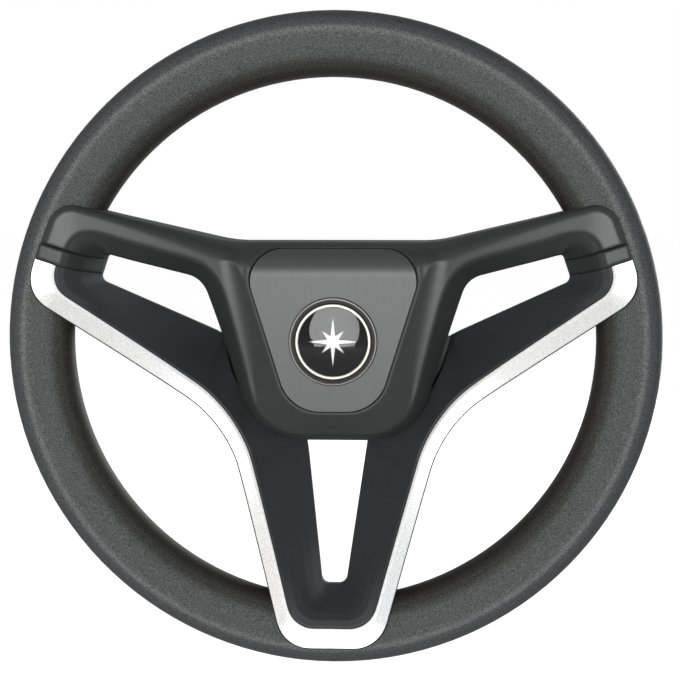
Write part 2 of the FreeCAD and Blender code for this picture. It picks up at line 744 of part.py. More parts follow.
def bridge():
    """Short piece across the rim between the upper cover and the lower frame, right half."""
    body = strip(rails(frame_stations(), bridge_section))
    upper, lower = [(x, z + shift) for (x, z), shift in ((COVER_SEAM, -SEAM_GAP), (TRIM_SEAM, SEAM_GAP))]
    body = body.cut(beyond_seam(upper, 1)).cut(beyond_seam(lower, -1))
    return body.common(ahead_of_back(BACK_THICKNESS)).cut(torus(GRIP_DIAMETER + 2 * CLEARANCE))


def silver_trim():
    """Brushed strip round the lower frame."""
    return both_sides(strip(rails(frame_stations(), trim_section)).cut(beyond_seam(TRIM_SEAM, 1)))


def trim_tape():
    """Foam tape that holds the trim in its seat."""
    return both_sides(strip(rails(frame_stations(), tape_section)).cut(beyond_seam(TRIM_SEAM, 1)))


def rear_cover():
    """Closing cover at the back, with its posts down to the armature."""
    plan = strip(rails(frame_stations(), frame_section))
    plan = plan.fuse(prism(outline(COVER_OUTLINE), -FAR, FAR))
    half = plan.common(ahead_of_back(0)).cut(ahead_of_back(BACK_THICKNESS))
    half = half.cut(torus(GRIP_DIAMETER + 2 * CLEARANCE))
    for place in BACK_SCREWS:
        seat = depth_at(BACK_DISH, place) - BACK_SCREW[1] - HEAD_SINK
        foot = depth_at(ARMATURE_DISH, place) + PLATE_THICKNESS / 2 + CLEARANCE
        post = disc(POST_DIAMETER, foot, FAR, *place).common(ahead_of_back(0))
        half = half.fuse(post).cut(disc(BACK_SCREW[0] + HEAD_ROOM, seat, FAR, *place))
    return both_sides(half).cut(disc(BACK_HOLE, -FAR, FAR)).cut(spider(CLEARANCE)).cut(back_screws())


def hub_shroud():
    """Conical sleeve round the bush behind the rear cover."""
    return turned(SHROUD)


def shaft_seal():
    """Rubber ring between the bush and the shroud."""
    outer, inner = SEAL_DIAMETERS
    return ring(outer, inner, *SEAL_DEPTH)


def centre_cap():
    """Shield-shaped cap with a rolled top, a seat for the emblem and snap legs."""
    half = prism(outline(CAP_OUTLINE), -FAR, FAR).common(roll_slab(0)).cut(roll_slab(CAP_THICKNESS))
    width, thickness, length = LEG_SIZE
    reach, height = HOOK
    for x, z, side, t in CAP_LEGS:
        leg = Part.makeBox(width, length, thickness, at(x, CAP_FACE + 1, z))
        hook = Part.makeBox(width, height, reach, at(x, t, z + side))
        half = half.fuse(leg.fuse(hook).common(roll_slab(0)))
    return both_sides(half).cut(disc(CUP_DIAMETER, CAP_FACE - 1, CUP_PROFILE[-1][1]))


def cap_gasket():
    """Rubber gasket between the cap and its ledge."""
    outer, inner = [prism(outline(inset(CAP_OUTLINE, distance)), -FAR, FAR) for distance in GASKET_BAND]
    half = outer.cut(inner).common(roll_slab(CAP_THICKNESS))
    return both_sides(half.cut(roll_slab(CAP_THICKNESS + GASKET_THICKNESS)))


def emblem_cup():
    """Bright cup with two raised rims that holds the printed disc."""
    return turned(CUP_PROFILE)


def emblem_disc():
    """Black printed disc."""
    floor = CUP_PROFILE[0][1]
    return disc(2 * DISC_RADIUS, floor - DISC_THICKNESS, floor)


def emblem_dome():
    """Clear resin lens on the disc."""
    front = CUP_PROFILE[0][1] - DISC_THICKNESS
    radius = (DISC_RADIUS ** 2 + DOME_HEIGHT ** 2) / (2 * DOME_HEIGHT)
    ball = Part.makeSphere(radius, at(0, front - DOME_HEIGHT + radius, 0))
    return ball.common(disc(2 * DISC_RADIUS, front - DOME_HEIGHT - 1, front))


PARTS = {
    "rim_grip": rim_grip,
    "rim_core": rim_core,
    "spoke_armature": spoke_armature,
    "hub_bush": hub_bush,
    "hub_screws": hub_screws,
    "upper_cover": upper_cover,
    "bridge_left": lambda: mirrored(bridge()),
    "bridge_right": bridge,
    "lower_frame": lower_frame,
    "silver_trim": silver_trim,
    "trim_tape": trim_tape,
    "rear_cover": rear_cover,
    "hub_shroud": hub_shroud,
    "shaft_seal": shaft_seal,
    "centre_cap": centre_cap,
    "cap_gasket": cap_gasket,
    "emblem_cup": emblem_cup,
    "emblem_disc": emblem_disc,
    "emblem_dome": emblem_dome,
    "inner_screws": inner_screws,
    "back_screws": back_screws,
}

os.makedirs("parts", exist_ok=True)
for name, build in PARTS.items():
    shape = build()
    print(name, "valid" if shape.isValid() else "NOT VALID", len(shape.Solids), round(shape.Volume))
    shape.exportStep(f"parts/{name}.step")
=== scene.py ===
"""Looks of a boat steering wheel, dressed round its packed construction model.

The wheel stands upright in the XZ plane and its front faces -Y. Blender works in metres, so sizes
of the wheel are written as millimetres times MM. Where a docstring says that numbers are in
millimetres, they are turned into metres at their use.
"""

import enum
import logging
import math
from dataclasses import dataclass

import bpy
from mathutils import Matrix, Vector


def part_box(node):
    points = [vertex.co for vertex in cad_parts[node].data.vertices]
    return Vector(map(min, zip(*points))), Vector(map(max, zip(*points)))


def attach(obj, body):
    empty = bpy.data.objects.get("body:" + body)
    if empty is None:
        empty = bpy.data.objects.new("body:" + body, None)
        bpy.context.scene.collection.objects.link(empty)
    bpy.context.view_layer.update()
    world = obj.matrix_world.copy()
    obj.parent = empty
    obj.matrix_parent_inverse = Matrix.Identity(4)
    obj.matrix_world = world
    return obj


LOG = logging.getLogger("wheel")
MM = 0.001

WHITE = "#ffffff"
BLACK = "#000000"
# Octaves of the noise in a finish's colour, and in reliefs and the grip's specks.
GRAIN_OCTAVES = 3.0
RELIEF_OCTAVES = 2.0
# How strongly the finer octaves of a colour's noise show.
OCTAVE_STRENGTH = 0.6
# Values of the noise below which a finish has its darker colour, and above which its lighter one.
DARK_BELOW = 0.32
LIGHT_ABOVE = 0.68
# Rays that a softened edge takes at each point.
EDGE_RAYS = 8

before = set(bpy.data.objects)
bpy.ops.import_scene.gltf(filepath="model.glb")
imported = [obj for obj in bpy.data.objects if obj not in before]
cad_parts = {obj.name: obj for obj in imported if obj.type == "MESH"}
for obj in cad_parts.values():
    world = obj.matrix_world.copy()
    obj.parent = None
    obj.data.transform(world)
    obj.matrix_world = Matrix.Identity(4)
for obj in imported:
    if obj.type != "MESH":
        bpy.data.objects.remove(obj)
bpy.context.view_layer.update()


def linear(code: str) -> tuple[float, float, float, float]:
    """Turn an sRGB colour into linear light.

    Args:
        code: the colour as six hexadecimal digits with a leading hash.

    Returns:
        Red, green, blue and an alpha of one.
    """
    channels = []
    for start in (1, 3, 5):
        value = int(code[start:start + 2], 16) / 255
        channels.append(value / 12.92 if value <= 0.04045 else ((value + 0.055) / 1.055) ** 2.4)
    return (*channels, 1.0)


def per_mm(size: float) -> float:
    """Scale of a pattern whose features are a given size in millimetres."""
    return 1.0 / (size * MM)


def add_node(tree: bpy.types.NodeTree, kind: str, links: dict | None = None,
             **settings) -> bpy.types.Node:
    """Add one node to a tree.

    Args:
        tree: the node tree of a material or world.
        kind: the node's type name.
        links: input socket, by name or number, to the output socket that feeds it.
        settings: node properties, or values of input sockets where no property has that name;
            an underscore stands for a space.

    Returns:
        The new node.
    """
    node = tree.nodes.new(kind)
    for name, value in settings.items():
        if hasattr(node, name):
            setattr(node, name, value)
        else:
            node.inputs[name.replace("_", " ")].default_value = value
    for name, socket in (links or {}).items():
        tree.links.new(socket, node.inputs[name])
    return node


def new_material(name: str) -> tuple[bpy.types.Material, bpy.types.NodeTree, bpy.types.Node]:
    """Make a material with nodes.

    Args:
        name: the material's name.

    Returns:
        The material, its tree and its shader.
    """
    material = bpy.data.materials.new(name)
    material.use_nodes = True
    tree = material.node_tree
    return material, tree, tree.nodes["Principled BSDF"]


def place_on_piece(tree: bpy.types.NodeTree) -> bpy.types.NodeSocket:
    """Socket with the place of each surface point on its piece."""
    return add_node(tree, "ShaderNodeTexCoord").outputs["Object"]


def two_tones(tree: bpy.types.NodeTree, noise: bpy.types.NodeSocket, dark: tuple[float, str],
              light: tuple[float, str]) -> bpy.types.NodeSocket:
    """Mix two colours by a noise.

    Args:
        tree: the material's tree.
        noise: the socket with the noise.
        dark: the noise's value where the darker colour ends, and its sRGB code.
        light: the noise's value where the lighter colour starts, and its sRGB code.

    Returns:
        The socket with the colour.
    """
    ramp = add_node(tree, "ShaderNodeValToRGB", {"Fac": noise})
    for element, (value, code) in zip(ramp.color_ramp.elements, (dark, light)):
        element.position = value
        element.color = linear(code)
    return ramp.outputs["Color"]


def radius(tree: bpy.types.NodeTree, place: bpy.types.NodeSocket) -> bpy.types.NodeSocket:
    """Distance of each surface point from the wheel's axis, in metres.

    Args:
        tree: the material's tree.
        place: the socket with the place on the piece.

    Returns:
        The socket with the distance.
    """
    parts = add_node(tree, "ShaderNodeSeparateXYZ", {"Vector": place})
    flat = add_node(tree, "ShaderNodeCombineXYZ",
                    {"X": parts.outputs["X"], "Y": parts.outputs["Z"]})
    length = add_node(tree, "ShaderNodeVectorMath", {0: flat.outputs["Vector"]}, operation="LENGTH")
    return length.outputs["Value"]


def radial_ramp(tree: bpy.types.NodeTree, place: bpy.types.NodeSocket,
                stops: tuple[tuple[float, str], ...], smooth: bool) -> bpy.types.NodeSocket:
    """Colours over the distance from the wheel's axis.

    Args:
        tree: the material's tree.
        place: the socket with the place on the piece.
        stops: pairs of a radius in millimetres and an sRGB code, from the smallest radius.
        smooth: whether the colours blend; otherwise each holds until the next radius.

    Returns:
        The socket with the colour.
    """
    inner, outer = stops[0][0], stops[-1][0]
    share = add_node(tree, "ShaderNodeMapRange", {"Value": radius(tree, place)},
                     From_Min=inner * MM, From_Max=outer * MM)
    ramp = add_node(tree, "ShaderNodeValToRGB", {"Fac": share.outputs["Result"]})
    ramp.color_ramp.interpolation = "EASE" if smooth else "CONSTANT"
    elements = ramp.color_ramp.elements
    elements[0].color, elements[1].color = linear(stops[0][1]), linear(stops[-1][1])
    for spot, code in stops[1:-1]:
        elements.new((spot - inner) / (outer - inner)).color = linear(code)
    return ramp.outputs["Color"]


def seen_ray(tree: bpy.types.NodeTree, strength: float) -> bpy.types.NodeSocket:
    """Socket with a strength for rays that see a surface, and nought for rays that light one.

    Args:
        tree: the tree it goes in.
        strength: its value for camera, glossy and transmission rays.

    Returns:
        The output socket.
    """
    path = add_node(tree, "ShaderNodeLightPath").outputs
    seen = path["Is Camera Ray"]
    for kind in ("Is Glossy Ray", "Is Transmission Ray"):
        seen = add_node(tree, "ShaderNodeMath", {0: seen, 1: path[kind]},
                        operation="MAXIMUM").outputs[0]
    scaled = add_node(tree, "ShaderNodeMath", {0: seen}, operation="MULTIPLY")
    scaled.inputs[1].default_value = strength
    return scaled.outputs[0]


def deselect() -> None:
    """Deselect all objects, so that the next step works on its own piece only."""
    bpy.ops.object.select_all(action="DESELECT")


def settle(piece: bpy.types.Object) -> None:
    """Move a piece's place, turn and size into its mesh.

    Args:
        piece: the piece; it is left at the origin.
    """
    deselect()
    piece.select_set(True)
    bpy.context.view_layer.objects.active = piece
    bpy.ops.object.transform_apply(location=True, rotation=True, scale=True)


class Direction(enum.Enum):
    """Way that a surface's fine grain runs, as factors on its scale along X, Y and Z."""

    EVEN = (1.0, 1.0, 1.0)
    UPRIGHT = (1.0, 1.0, 0.04)


@dataclass(frozen=True)
class Finish:
    """A surface finish with grain in its colour and its relief.

    The grain mixes the two colours. The roughness spreads with the grain, or rises to
    edge_roughness at a glancing angle. Edges look rounded over soft_edge. Sizes are in
    millimetres.
    """

    name: str
    dark: str
    light: str
    roughness: float
    specular: float = 0.5
    metallic: float = 0.0
    grain: float = 0.8
    relief_grain: float = 0.5
    relief: float = 0.02
    spread: float = 0.0
    edge_roughness: float = 0.0
    soft_edge: float = 0.0
    direction: Direction = Direction.EVEN

    def material(self) -> bpy.types.Material:
        """Build the finish as a material with nodes.

        Returns:
            The new material.
        """
        material, tree, shader = new_material(self.name)
        place = add_node(tree, "ShaderNodeMapping", {"Vector": place_on_piece(tree)},
                         Scale=self.direction.value).outputs["Vector"]
        grain = add_node(tree, "ShaderNodeTexNoise", {"Vector": place}, Scale=per_mm(self.grain),
                         Detail=GRAIN_OCTAVES, Roughness=OCTAVE_STRENGTH).outputs["Fac"]
        colour = two_tones(tree, grain, (DARK_BELOW, self.dark), (LIGHT_ABOVE, self.light))
        tree.links.new(colour, shader.inputs["Base Color"])
        tree.links.new(self.surface(tree, place), shader.inputs["Normal"])
        if self.spread or self.edge_roughness:
            tree.links.new(self.gloss(tree, grain), shader.inputs["Roughness"])
        else:
            shader.inputs["Roughness"].default_value = self.roughness
        shader.inputs["Metallic"].default_value = self.metallic
        shader.inputs["Specular IOR Level"].default_value = self.specular
        return material

    def surface(self, tree: bpy.types.NodeTree,
                place: bpy.types.NodeSocket) -> bpy.types.NodeSocket:
        """Normal of the surface with its relief and its softened edges.

        Args:
            tree: the material's tree.
            place: the socket with the place on the piece, stretched along the grain.

        Returns:
            The socket with the normal.
        """
        relief = add_node(tree, "ShaderNodeTexNoise", {"Vector": place},
                          Scale=per_mm(self.relief_grain), Detail=RELIEF_OCTAVES)
        bump = add_node(tree, "ShaderNodeBump", {"Height": relief.outputs["Fac"]},
                        Strength=1.0, Distance=self.relief * MM)
        if self.soft_edge:
            edge = add_node(tree, "ShaderNodeBevel", samples=EDGE_RAYS, Radius=self.soft_edge * MM)
            tree.links.new(edge.outputs["Normal"], bump.inputs["Normal"])
        return bump.outputs["Normal"]

    def gloss(self, tree: bpy.types.NodeTree, grain: bpy.types.NodeSocket) -> bpy.types.NodeSocket:
        """Roughness that differs over the surface.

        Args:
            tree: the material's tree.
            grain: the socket with the grain's noise.

        Returns:
            The socket with the roughness.
        """
        if self.spread:
            source, low, high = grain, self.roughness - self.spread, self.roughness + self.spread
        else:
            source = add_node(tree, "ShaderNodeLayerWeight").outputs["Facing"]
            low, high = self.roughness, self.edge_roughness
        level = add_node(tree, "ShaderNodeMapRange", {"Value": source}, To_Min=low, To_Max=high)
        return level.outputs["Result"]


@dataclass(frozen=True)
class GripFoam:
    """Integral-skin foam of the rim: a skin with light specks over painted light and shade.

    The painted light goes from the rim's inner side to its outer side, as pairs of a radius and an
    sRGB code: painted shade at both sides, paler over the crown and a painted highlight band just
    outward of it. The crease is a fine line at one radius, pressed in where its code is black.
    Sizes are in millimetres.
    """

    name: str = "polyurethane_grip"
    # Painted light: painted shade at the inner and outer sides, and a painted highlight band just
    # outward of the crown.
    painted_light_zones: tuple = ((140.0, "#2e2c29"), (146.5, "#4b4b49"), (151.0, "#616563"),
                    (158.5, "#636765"), (161.5, "#6b6f6d"), (164.5, "#838886"),
                    (167.5, "#606466"), (175.0, "#393d40"))
    speck_dark: tuple = (0.35, "#9c9c9c")
    speck_light: tuple = (0.7, WHITE)
    speck: float = 0.75
    pore: float = 0.9
    pore_depth: float = 0.05
    crease: tuple = ((145.0, WHITE), (145.7, BLACK), (146.4, WHITE))
    crease_depth: float = 0.12
    roughness: float = 0.6
    specular: float = 0.1

    def material(self) -> bpy.types.Material:
        """Build the foam as a material with nodes.

        Returns:
            The new material.
        """
        material, tree, shader = new_material(self.name)
        place = place_on_piece(tree)
        grain = add_node(tree, "ShaderNodeTexNoise", {"Vector": place}, Scale=per_mm(self.speck),
                         Detail=RELIEF_OCTAVES, Roughness=OCTAVE_STRENGTH)
        specks = two_tones(tree, grain.outputs["Fac"], self.speck_dark, self.speck_light)
        # The specks over the painted highlight band and the painted shade of the rim.
        specks_on_painted_light = add_node(tree, "ShaderNodeMix", {6: radial_ramp(tree, place, self.painted_light_zones, True),
                                                7: specks}, data_type="RGBA", blend_type="MULTIPLY")
        specks_on_painted_light.inputs[0].default_value = 1.0
        tree.links.new(specks_on_painted_light.outputs[2], shader.inputs["Base Color"])
        pores = add_node(tree, "ShaderNodeTexNoise", {"Vector": place}, Scale=per_mm(self.pore),
                         Detail=RELIEF_OCTAVES)
        rough = add_node(tree, "ShaderNodeBump", {"Height": pores.outputs["Fac"]},
                         Distance=self.pore_depth * MM)
        creased = add_node(tree, "ShaderNodeBump",
                           {"Height": radial_ramp(tree, place, self.crease, True),
                            "Normal": rough.outputs["Normal"]}, Distance=self.crease_depth * MM)
        tree.links.new(creased.outputs["Normal"], shader.inputs["Normal"])
        shader.inputs["Roughness"].default_value = self.roughness
        shader.inputs["Specular IOR Level"].default_value = self.specular
        return material


@dataclass(frozen=True)
class EmblemPlating:
    """Chrome-plated cup of the emblem with a black enamel channel between its two rims.

    The colours are pairs of a radius in millimetres and an sRGB code. The metal has the same
    radii: it is white where the plating shows and black on enamel.
    """

    name: str = "emblem_plating"
    colours: tuple = ((0.0, "#0d0c0b"), (18.7, "#67655f"), (19.9, "#131211"), (22.4, "#413f3d"),
                      (23.1, "#171716"), (23.6, "#171716"))
    metal: tuple = ((0.0, BLACK), (18.7, WHITE), (19.9, BLACK), (22.4, WHITE), (23.1, BLACK),
                    (23.6, BLACK))
    roughness: float = 0.25
    enamel_gloss: float = 0.07

    def material(self) -> bpy.types.Material:
        """Build the plating as a material with nodes.

        Returns:
            The new material.
        """
        material, tree, shader = new_material(self.name)
        place = place_on_piece(tree)
        tree.links.new(radial_ramp(tree, place, self.colours, False), shader.inputs["Base Color"])
        tree.links.new(radial_ramp(tree, place, self.metal, False), shader.inputs["Metallic"])
        shader.inputs["Roughness"].default_value = self.roughness
        shader.inputs["Specular IOR Level"].default_value = self.enamel_gloss
        return material


@dataclass(frozen=True)
class ClearResin:
    """Poured clear resin with a slight wave in its surface, whose sizes are in millimetres."""

    name: str = "clear_poured_resin"
    ior: float = 1.34
    roughness: float = 0.02
    wave: float = 9.0
    wave_octaves: float = 1.0
    wave_depth: float = 0.05
    wave_strength: float = 0.5

    def material(self) -> bpy.types.Material:
        """Build the resin as a material with nodes.

        Returns:
            The new material.
        """
        material, tree, shader = new_material(self.name)
        wave = add_node(tree, "ShaderNodeTexNoise", {"Vector": place_on_piece(tree)},
                        Scale=per_mm(self.wave), Detail=self.wave_octaves)
        bump = add_node(tree, "ShaderNodeBump", {"Height": wave.outputs["Fac"]},
                        Strength=self.wave_strength, Distance=self.wave_depth * MM)
        tree.links.new(bump.outputs["Normal"], shader.inputs["Normal"])
        shader.inputs["Base Color"].default_value = linear(WHITE)
        shader.inputs["Transmission Weight"].default_value = 1.0
        shader.inputs["IOR"].default_value = self.ior
        shader.inputs["Roughness"].default_value = self.roughness
        return material


Coating = Finish | GripFoam | EmblemPlating | ClearResin

# The real grain of paint, nylon, brushing and foam skin is a tenth to three tenths of a
# millimetre across. It is drawn coarser, at about half a millimetre to one, so that it shows.

# Integral-skin polyurethane foam: a matt grey-black skin with pale specks, with a painted
# highlight along its crown and painted shade towards both sides.
GRIP_FOAM = GripFoam()
# Moulded ABS with soft satin paint: a smooth grey-black that brightens where it faces the light.
SATIN_COVER = Finish("satin_painted_abs", "#202322", "#262928", 0.34, specular=0.3, grain=0.5,
                     relief_grain=0.45, relief=0.006, edge_roughness=1.0, soft_edge=3.0)
# The cap has a paler coat over upright polishing lines, which show as faint streaks.
SATIN_CAP = Finish("satin_painted_cap", "#343836", "#3a3e3c", 0.36, specular=0.34, grain=0.7,
                   relief_grain=0.6, relief=0.006, edge_roughness=1.0, soft_edge=0.3,
                   direction=Direction.UPRIGHT)
# Glass-filled nylon straight from a spark-eroded mould: deep matt black.
MATT_FRAME = Finish("matt_black_nylon", "#2c2e30", "#353739", 0.44, specular=0.2, grain=0.7,
                    relief_grain=0.6, relief=0.015, edge_roughness=1.0, soft_edge=0.6)
# The rear mouldings are the same nylon with a coarser grain: darker and duller.
REAR_NYLON = Finish("grained_rear_nylon", "#1a1b1c", "#232425", 0.62, specular=0.3, grain=1.0,
                    relief_grain=1.0, relief=0.04)
# Brushed and satin-lacquered aluminium: near white, broken into a fine pale sparkle. The lines
# follow the strip round its bends, so the grain is drawn the same in all directions.
BRUSHED_TRIM = Finish("brushed_aluminium_trim", "#bebebd", "#dcdddc", 0.4, metallic=1.0,
                      grain=0.7, relief_grain=0.5, relief=0.006, spread=0.05, soft_edge=0.5)
# Turned and zinc-plated steel of the bush and the rim's core: bright grey with a dull bloom.
TURNED_STEEL = Finish("turned_steel", "#8e8f90", "#adaeaf", 0.34, metallic=1.0, grain=1.4,
                      relief_grain=0.7, relief=0.006, spread=0.06)
# Sand-cast aluminium of the spider: dull, with a coarse skin.
CAST_ALUMINIUM = Finish("cast_aluminium", "#8d8e8d", "#a8a9a8", 0.52, metallic=1.0, grain=2.0,
                        relief_grain=1.2, relief=0.06, spread=0.05)
# Stainless steel of the screws: smooth mid grey with small bright glints.
STAINLESS = Finish("stainless_screws", "#848585", "#a0a1a1", 0.32, metallic=1.0, grain=0.8,
                   relief_grain=0.5, relief=0.004, spread=0.05)
# Bright plating of the emblem's two rims, with black enamel in the channel between them: two
# grey glints round a black ring.
PLATING = EmblemPlating()
# Poured polyurethane over the print: colourless and glossy, so the lamp shows in it.
CLEAR_RESIN = ClearResin()
# Printed film under the resin: near-black gloss ink.
INK_BLACK = Finish("printed_black", "#14120f", "#181613", 0.25, grain=2.0, relief_grain=1.0,
                   relief=0.001)
# Opaque ink of the generic mark: an even soft white.
INK_WHITE = Finish("printed_white", "#d6d7d4", "#e2e3e0", 0.4, specular=0.4, grain=1.0,
                   relief_grain=1.0, relief=0.001)
# Moulded rubber of the seals and foam of the tape: dead black, with hardly a highlight.
RUBBER = Finish("moulded_rubber", "#121213", "#1a1a1b", 0.7, specular=0.3, grain=0.8,
                relief_grain=0.6, relief=0.02)

NODE_FINISHES = {
    "rim_grip": GRIP_FOAM,
    "rim_core": TURNED_STEEL,
    "spoke_armature": CAST_ALUMINIUM,
    "hub_bush": TURNED_STEEL,
    "hub_screws": STAINLESS,
    "upper_cover": SATIN_COVER,
    "bridge_left": SATIN_COVER,
    "bridge_right": SATIN_COVER,
    "lower_frame": MATT_FRAME,
    "silver_trim": BRUSHED_TRIM,
    "trim_tape": RUBBER,
    "rear_cover": REAR_NYLON,
    "hub_shroud": REAR_NYLON,
    "shaft_seal": RUBBER,
    "centre_cap": SATIN_CAP,
    "cap_gasket": RUBBER,
    "emblem_cup": PLATING,
    "emblem_disc": INK_BLACK,
    "emblem_dome": CLEAR_RESIN,
    "inner_screws": STAINLESS,
    "back_screws": STAINLESS,
}


class Construction:
    """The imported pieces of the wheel, each given its own finish."""

    def __init__(self) -> None:
        """Start with no material built."""
        self.built: dict[str, bpy.types.Material] = {}

    def dress(self) -> None:
        """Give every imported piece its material."""
        for node, finish in NODE_FINISHES.items():
            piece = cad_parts[node]
            piece.data.materials.clear()
            piece.data.materials.append(self.coat(finish))
            LOG.info("dressed %s with %s", node, finish.name)

    def coat(self, finish: Coating) -> bpy.types.Material:
        """Give the material of a finish, which is built at its first use.

        Args:
            finish: the finish.

        Returns:
            Its material.
        """
        if finish.name not in self.built:
            self.built[finish.name] = finish.material()
        return self.built[finish.name]


@dataclass
class TrimLipAndShade:
    """Thin black bead in the frame's material along the outer edge of the silver trim, drawn as a
    lip of the frame and also standing as painted shade for the trim's shaded outer side wall.

    The trim's outer side faces away from the frame, down and to the side. A face belongs to it
    where its normal leans outwards by more than least_lean and to the front or back by less than
    most_tilt, and where it lies below top, the level of the bridges.
    """

    bead: float = 0.5 * MM
    merge: float = 0.01 * MM
    outward: tuple[float, float] = (0.6, -0.8)
    least_lean: float = 0.2
    most_tilt: float = 0.3
    top: float = 45 * MM

    def build(self, coat: bpy.types.Material) -> None:
        """Make the bead on a copy of the trim's outer side faces.

        Args:
            coat: the frame's material.
        """
        deselect()
        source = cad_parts["silver_trim"]
        source.select_set(True)
        bpy.context.view_layer.objects.active = source
        bpy.ops.object.duplicate()
        bead = bpy.context.object
        # The bead also puts painted shade, a dark hairline, along the trim's outer side.
        bead.name = "trim_lip_and_shade_bead"
        bpy.ops.object.mode_set(mode="EDIT")
        bpy.ops.mesh.select_mode(type="FACE")
        bpy.ops.mesh.select_all(action="SELECT")
        bpy.ops.mesh.remove_doubles(threshold=self.merge)
        bpy.ops.mesh.select_all(action="DESELECT")
        bpy.ops.object.mode_set(mode="OBJECT")
        for face in bead.data.polygons:
            face.select = not self.is_outer(face)
        bpy.ops.object.mode_set(mode="EDIT")
        bpy.ops.mesh.delete(type="FACE")
        bpy.ops.object.mode_set(mode="OBJECT")
        wall = bead.modifiers.new("wall", "SOLIDIFY")
        wall.thickness, wall.offset, wall.use_even_offset = self.bead, 1.0, True
        bpy.ops.object.modifier_apply(modifier=wall.name)
        settle(bead)
        bead.data.materials.clear()
        bead.data.materials.append(coat)
        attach(bead, "root")
        LOG.info("made the bead at the trim's outer edge, %d faces", len(bead.data.polygons))

    def is_outer(self, face: bpy.types.MeshPolygon) -> bool:
        """Tell the faces of the trim's outer side from all others.

        Args:
            face: a face of the copied trim.

        Returns:
            Whether the face looks away from the frame and not to the front or back.
        """
        across = math.copysign(face.normal.x, face.normal.x * face.center.x)
        lean = across * self.outward[0] + face.normal.z * self.outward[1]
        beside = abs(face.normal.y) < self.most_tilt and lean > self.least_lean
        return beside and face.center.z < self.top


@dataclass
class WindowFoot:
    """Narrow web of the frame that closes the foot of each side window beside the hub.

    The line runs down the frame's inner edge, as pairs of X and Z in millimetres on the right,
    and the web reaches from it towards the hub.
    """

    line: tuple = ((64.1, -1.0), (63.6, -3.4), (62.2, -9.0), (60.4, -14.9), (58.6, -19.6),
                   (56.4, -24.5), (53.6, -29.5))
    reach: float = 5.0 * MM
    front: float = -15.0 * MM
    thickness: float = 1.2 * MM
    rounding: float = 0.3 * MM
    rounding_steps: int = 2

    def build(self, coat: bpy.types.Material) -> None:
        """Make the web on both sides.

        Args:
            coat: the frame's material.
        """
        for side, name in ((-1, "window_foot_left"), (1, "window_foot_right")):
            self.build_side(side, name, coat)

    def build_side(self, side: int, name: str, coat: bpy.types.Material) -> None:
        """Make the web on one side.

        Args:
            side: 1 on the right of the wheel and -1 on its left.
            name: the piece's name.
            coat: the frame's material.
        """
        deselect()
        bpy.ops.mesh.primitive_plane_add(size=self.reach, location=(0, 0, 0),
                                         rotation=(math.pi / 2, 0, 0))
        web = bpy.context.object
        web.name = name
        settle(web)
        spots = [(side * x * MM, z * MM) for x, z in self.line]
        self.place_first(web, side, spots)
        bpy.ops.object.mode_set(mode="EDIT")
        bpy.ops.mesh.select_mode(type="EDGE")
        for (x_from, z_from), (x_to, z_to) in zip(spots[1:], spots[2:]):
            step = (x_to - x_from, 0, z_to - z_from)
            bpy.ops.mesh.extrude_region_move(TRANSFORM_OT_translate={"value": step})
        bpy.ops.object.mode_set(mode="OBJECT")
        wall = web.modifiers.new("wall", "SOLIDIFY")
        wall.thickness, wall.offset = self.thickness, -1.0
        bpy.ops.object.modifier_apply(modifier=wall.name)
        rim = web.modifiers.new("rim", "BEVEL")
        rim.width, rim.segments = self.rounding, self.rounding_steps
        bpy.ops.object.modifier_apply(modifier=rim.name)
        web.data.materials.append(coat)
        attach(web, "root")
        LOG.info("made %s, %d faces", name, len(web.data.polygons))

    def place_first(self, web: bpy.types.Object, side: int,
                    spots: list[tuple[float, float]]) -> None:
        """Put the plane on the first stretch of the line and select its lower edge.

        Args:
            web: the upright plane.
            side: 1 on the right of the wheel and -1 on its left.
            spots: X and Z of the line's points, in metres.
        """
        beyond = self.reach if side < 0 else 0.0
        for vertex in web.data.vertices:
            x, z = spots[1] if vertex.co.z < 0 else spots[0]
            across = beyond - self.reach if vertex.co.x < 0 else beyond
            vertex.co = (x + across, self.front, z)
        low = min(vertex.co.z for vertex in web.data.vertices)
        web.data.polygons[0].select = False
        for vertex in web.data.vertices:
            vertex.select = vertex.co.z == low
        for edge in web.data.edges:
            edge.select = all(web.data.vertices[index].co.z == low for index in edge.vertices)


@dataclass
class EmblemMark:
    """A plain compass star printed under the resin, as a generic mark."""

    long_points: int = 4
    long_reach: float = 13.2 * MM
    short_reach: float = 8.4 * MM
    waist: float = 3.1 * MM
    ink: float = 0.03 * MM

    def build(self, coat: bpy.types.Material) -> None:
        """Make the star in place on the printed disc.

        Args:
            coat: the ink's material.
        """
        deselect()
        low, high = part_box("emblem_disc")
        centre = Vector(((low.x + high.x) / 2, low.y, (low.z + high.z) / 2))
        reaches = (self.long_reach, self.waist, self.short_reach, self.waist)
        bpy.ops.mesh.primitive_circle_add(vertices=len(reaches) * self.long_points, radius=1.0,
                                          fill_type="NGON", location=centre,
                                          rotation=(math.pi / 2, 0, 0))
        star = bpy.context.object
        star.name = "emblem_star"
        for index, vertex in enumerate(star.data.vertices):
            vertex.co = vertex.co * reaches[index % len(reaches)]
        bpy.ops.object.mode_set(mode="EDIT")
        bpy.ops.mesh.select_all(action="SELECT")
        bpy.ops.mesh.extrude_region_move(TRANSFORM_OT_translate={"value": (0, -self.ink, 0)})
        bpy.ops.mesh.select_all(action="SELECT")
        bpy.ops.mesh.normals_make_consistent(inside=False)
        bpy.ops.object.mode_set(mode="OBJECT")
        settle(star)
        star.data.materials.append(coat)
        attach(star, "root")
        LOG.info("printed the emblem's star")


